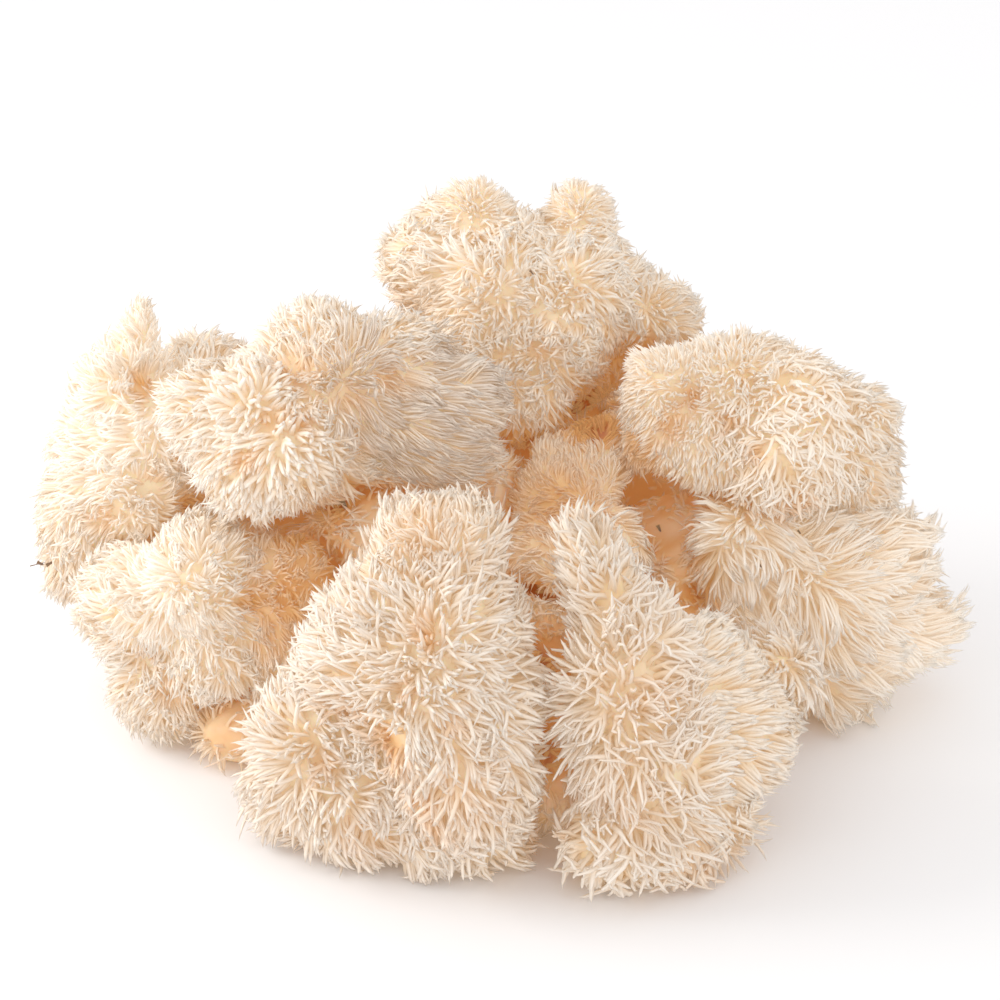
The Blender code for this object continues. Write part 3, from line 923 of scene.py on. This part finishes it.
# Deep and Deepest are the colours of painted amber shade in crevices; Grey, on some coats, is painted shade
tooth_colour, given, result = new_group(
    "tooth colour",
    {"Root": COLOUR, "Middle": COLOUR, "Tip": COLOUR, "Deep": COLOUR, "Deepest": COLOUR, "Grey": COLOUR,
     "Along": NUMBER, "Shade": NUMBER, "Painted Shading": NUMBER, "Greyness": NUMBER, "Bit": NUMBER},
    {"Color": COLOUR, "Roughness": NUMBER, "Glow": COLOUR})
# painted shade: a tooth is darker and warmer at its root than at its tip
lower = mix(tooth_colour, ramp(tooth_colour, given["Along"], 0.0, 0.5), given["Root"], given["Middle"])
whole = mix(tooth_colour, ramp(tooth_colour, given["Along"], 0.35, 0.9), lower, given["Tip"])
patches = ramp(tooth_colour, noise(tooth_colour, 55, 3), 0.35, 0.75)
patched = mix(tooth_colour, times(tooth_colour, patches, 0.4), whole, given["Middle"])
varied = mix(tooth_colour, times(tooth_colour, given["Shade"], 0.35), patched, given["Middle"])
# the grey, on the plump, noodles and matted coats, is painted shade
grey_share = times(tooth_colour, given["Greyness"], ramp(tooth_colour, given["Shade"], 0.25, 0.75, 0.3, 1.0))
greyed = mix(tooth_colour, grey_share, varied, given["Grey"])
# painted shade: amber in crevices and on spots, less towards the tip, deepest amber above 1
less_at_tip = ramp(tooth_colour, given["Along"], 0.1, 1.0, 1.0, 0.7)
painted_shading = times(tooth_colour, given["Painted Shading"], less_at_tip)
with_painted_shade = mix(tooth_colour, painted_shading, greyed, given["Deep"])
with_deepest_painted_shade = mix(tooth_colour, ramp(tooth_colour, painted_shading, 1.0, 2.0), with_painted_shade, given["Deepest"])
tooth_colour.links.new(mix(tooth_colour, given["Bit"], with_deepest_painted_shade, BROWN), result["Color"])

# painted light: the glow, amber at roots and in crevices, pale where thin places let light through
glow = mix(tooth_colour, given["Along"], GLOW_AT_ROOT, GLOW_AT_TIP)
amber_glow = mix(tooth_colour, times(tooth_colour, painted_shading, 0.5), glow, GLOW_IN_CREVICE)
painted_light_through_thin = ramp(tooth_colour, given["Painted Shading"], -1.0, 0.0, 1.0, 0.0)
tooth_colour.links.new(mix(tooth_colour, painted_light_through_thin, amber_glow, GLOW_WHERE_THIN), result["Glow"])
tooth_colour.links.new(ramp(tooth_colour, given["Shade"], 0, 1, 0.4, 0.62), result["Roughness"])
print(tooth_colour.name, "has", len(tooth_colour.nodes), "nodes")

# %% Colour of the flesh, as a node group
flesh_colour, given, result = new_group(
    "flesh colour",
    {"Pale": COLOUR, "Warm": COLOUR, "Deep": COLOUR, "Deepest": COLOUR, "Bruise": COLOUR,
     "Painted Shading": NUMBER},
    {"Color": COLOUR, "Roughness": NUMBER, "Glow": COLOUR, "Pits": NUMBER})
mottling = ramp(flesh_colour, noise(flesh_colour, 90, 4), 0.35, 0.7)
mottled = mix(flesh_colour, mottling, given["Pale"], given["Warm"])
# painted shade: the flesh turns amber in crevices and on spots, deepest amber above 1
shaded = mix(flesh_colour, given["Painted Shading"], mottled, given["Deep"])
with_deepest_painted_shade = mix(flesh_colour, ramp(flesh_colour, given["Painted Shading"], 1.0, 2.0), shaded, given["Deepest"])
bruises = ramp(flesh_colour, noise(flesh_colour, 176, 1), 0.77, 0.82)
bruised = mix(flesh_colour, bruises, with_deepest_painted_shade, given["Bruise"])
flesh_colour.links.new(bruised, result["Color"])
# painted light: the flesh glows in its own colour
flesh_colour.links.new(bruised, result["Glow"])
damp = ramp(flesh_colour, noise(flesh_colour, 300, 3), 0.3, 0.7, 0.42, 0.62)
flesh_colour.links.new(damp, result["Roughness"])
flesh_colour.links.new(noise(flesh_colour, 900, 4, 0.6), result["Pits"])
print(flesh_colour.name, "has", len(flesh_colour.nodes), "nodes")

# %% The two materials of the teeth
GLOW = 0.13  # how strongly teeth and flesh glow, as painted light


def coloured(name, group, colours, facts):
    """A material with one of the two groups in it, and that group's node."""
    material = bpy.data.materials.new(name)
    material.use_nodes = True
    tree = material.node_tree
    shader = tree.nodes["Principled BSDF"]
    look = tree.nodes.new("ShaderNodeGroup")
    look.node_tree = group
    for socket, colour in colours.items():
        look.inputs[socket].default_value = linear(*colour)
    for socket, fact in facts.items():
        tree.links.new(attribute(tree, fact), look.inputs[socket])
    tree.links.new(look.outputs["Color"], shader.inputs["Base Color"])
    tree.links.new(look.outputs["Roughness"], shader.inputs["Roughness"])
    tree.links.new(look.outputs["Glow"], shader.inputs["Emission Color"])
    shader.inputs["Emission Strength"].default_value = GLOW
    return material, look


def teeth_material(name, colours):
    """Teeth, each coloured by its own facts, and a little less shiny than flesh."""
    facts = {"Along": "along", "Shade": "shade", "Painted Shading": "deep", "Greyness": "grey", "Bit": "bit"}
    material, _ = coloured(name, tooth_colour, colours, facts)
    material.node_tree.nodes["Principled BSDF"].inputs["Specular IOR Level"].default_value = 0.35
    return material


cream_teeth = teeth_material("cream_teeth", {
    "Root": (241, 206, 162), "Middle": (248, 226, 200), "Tip": (252, 241, 228),
    "Deep": (226, 160, 88), "Deepest": (174, 82, 22), "Grey": (222, 202, 185)})
# painted shade: a darker copy of the cream teeth
shaded_teeth = teeth_material("deep_cream_teeth", {
    "Root": (236, 196, 150), "Middle": (243, 214, 182), "Tip": (249, 230, 210),
    "Deep": (218, 148, 78), "Deepest": (168, 76, 20), "Grey": (214, 192, 172)})
print("teeth:", cream_teeth.name, shaded_teeth.name)

# %% The two materials of the flesh
SCATTERING = 3 * MM  # how far light goes in the flesh
PIT_DEPTH = 0.3 * MM


def flesh_material(name, colours):
    """Moist flesh: mottled between two tones, finely pitted, with painted shade in crevices, a few brown
    bruises.
    """
    material, look = coloured(name, flesh_colour, colours, {"Painted Shading": "deep"})
    tree = material.node_tree
    shader = tree.nodes["Principled BSDF"]
    shader.inputs["Subsurface Weight"].default_value = 0.5
    shader.inputs["Subsurface Radius"].default_value = (1.0, 0.45, 0.2)
    shader.inputs["Subsurface Scale"].default_value = SCATTERING
    bump = tree.nodes.new("ShaderNodeBump")
    bump.inputs["Strength"].default_value = 0.4
    bump.inputs["Distance"].default_value = PIT_DEPTH
    tree.links.new(look.outputs["Pits"], bump.inputs["Height"])
    tree.links.new(bump.outputs["Normal"], shader.inputs["Normal"])
    return material


amber_flesh = flesh_material("amber_flesh", {
    "Pale": (247, 224, 186), "Warm": (240, 204, 154), "Deep": (224, 160, 88), "Deepest": (174, 84, 24),
    "Bruise": (150, 84, 44)})
salmon_flesh = flesh_material("salmon_flesh", {
    "Pale": (243, 208, 164), "Warm": (234, 184, 128), "Deep": (222, 152, 80), "Deepest": (166, 76, 22),
    "Bruise": (140, 70, 36)})
print("flesh:", amber_flesh.name, salmon_flesh.name)

# %% [markdown]
# ## Making the pieces
#
# The flesh of a branch is its smooth skin, moved in a little, so that the teeth stand in it by
# their roots. Both pieces stand for the same solid, and ride on it. One mesh for all would be
# simpler, but a branch that is a piece of its own can be used without the others.

# %% Flesh and teeth of every branch
# these branches lie behind, between or under others, and get the darker teeth as painted shade
SHADED_BRANCHES = {"middle_branch", "rear_left_branch", "rear_right_branch", "trunk"}
ON_THE_TABLE = 0.3 * MM  # what lies lower is the trunk's cut, and rests on the table


def add_piece(name, mesh, material, node):
    piece = bpy.data.objects.new(name, mesh)
    scene.collection.objects.link(piece)
    mesh.materials.clear()
    mesh.materials.append(material)
    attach(piece, "root")
    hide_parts(node)
    return piece


def settle_flesh(node):
    """Move a skin in to where the flesh is, keeping the trunk's cut on the surface it rests on."""
    mesh = skins[node]
    places = points_of(mesh)
    moved = places - FLESH_DEPTH * points_of(mesh, "vertices", "normal")
    moved[places[:, 2] < ON_THE_TABLE, 2] = 0
    moved[:, 2] = np.maximum(moved[:, 2], 0)
    # the flesh's painted amber shade, and its painted light where thin, kept as the attribute deep
    amber = amber_at(places, openness[node])
    mesh.attributes.new("deep", "FLOAT", "POINT").data.foreach_set("value", amber.astype(np.float32))
    mesh.vertices.foreach_set("co", moved.astype(np.float32).ravel())
    mesh.update()
    mesh.shade_smooth()
    return mesh


def triangles(mesh):
    return sum(len(p.vertices) - 2 for p in mesh.polygons)


total = 0
for seed, node in enumerate(sorted(skins)):
    chance = np.random.default_rng(seed)
    teeth = with_bits(node, grow(node, chance))
    mesh = tooth_mesh(f"{node}_teeth", teeth)
    # deep: whether the branch gets the darker teeth, painted shade
    deep = node in SHADED_BRANCHES
    add_piece(f"{node}_teeth", mesh, shaded_teeth if deep else cream_teeth, node)
    flesh = settle_flesh(node)
    add_piece(f"{node}_flesh", flesh, salmon_flesh if node == "trunk" else amber_flesh, node)
    total += triangles(mesh) + triangles(flesh)
    print(f"{node}: {len(teeth['root'])} teeth, {triangles(mesh)} triangles, and {triangles(flesh)} of flesh")
print("triangles in all:", total)

# %% [markdown]
# ## The studio
#
# The photo was taken on white, lit softly from the left, with a pale shadow falling to the lower
# right. A white floor, a white sky and one large lamp give that. The lamp is near, so the left
# lobes get more of it than the right ones. The view gamma gives the photo's light middle tones.

# %% Floor and sky
PAPER_REACH = 4  # metres from the middle to each edge
PAPER_DROP = 0.1 * MM  # how far the paper lies under the cut, so that the two do not flicker

floor_mesh = bpy.data.meshes.new("floor")
paper_corners = [(PAPER_REACH * x, PAPER_REACH * y, 0) for x, y in ((-1, -1), (1, -1), (1, 1), (-1, 1))]
floor_mesh.from_pydata(paper_corners, [], [(0, 1, 2, 3)])
floor = bpy.data.objects.new("floor", floor_mesh)
floor.location.z = -PAPER_DROP
scene.collection.objects.link(floor)
paper = bpy.data.materials.new("white_paper")
paper.use_nodes = True
paper_shader = paper.node_tree.nodes["Principled BSDF"]
paper_shader.inputs["Base Color"].default_value = (0.95, 0.94, 0.95, 1)
paper_shader.inputs["Roughness"].default_value = 0.9
floor_mesh.materials.append(paper)

world = bpy.data.worlds.new("white_room")
world.use_nodes = True
sky = world.node_tree.nodes["Background"]
sky.inputs["Color"].default_value = (1.0, 1.0, 1.0, 1)
sky.inputs["Strength"].default_value = 1.0
scene.world = world
print("paper:", 2 * PAPER_REACH, "m across")

# %% Lamp and view
LAMP_PLACE = (-0.43, 0.0, 0.27)
LAMP_ACROSS = 0.32
LAMP_WATTS = 1.25

lamp_data = bpy.data.lights.new("window", "AREA")
lamp_data.shape = "DISK"
lamp_data.size = LAMP_ACROSS
lamp_data.energy = LAMP_WATTS
lamp_data.color = (1.0, 0.985, 0.95)
lamp = bpy.data.objects.new("window", lamp_data)
lamp.location = LAMP_PLACE
lamp.rotation_euler = (LOOK_AT - lamp.location).to_track_quat("-Z", "Y").to_euler()
scene.collection.objects.link(lamp)

scene.view_settings.view_transform = "Standard"
scene.view_settings.gamma = 1.25
print("lamp:", round((lamp.location - LOOK_AT).length, 2), "m away")
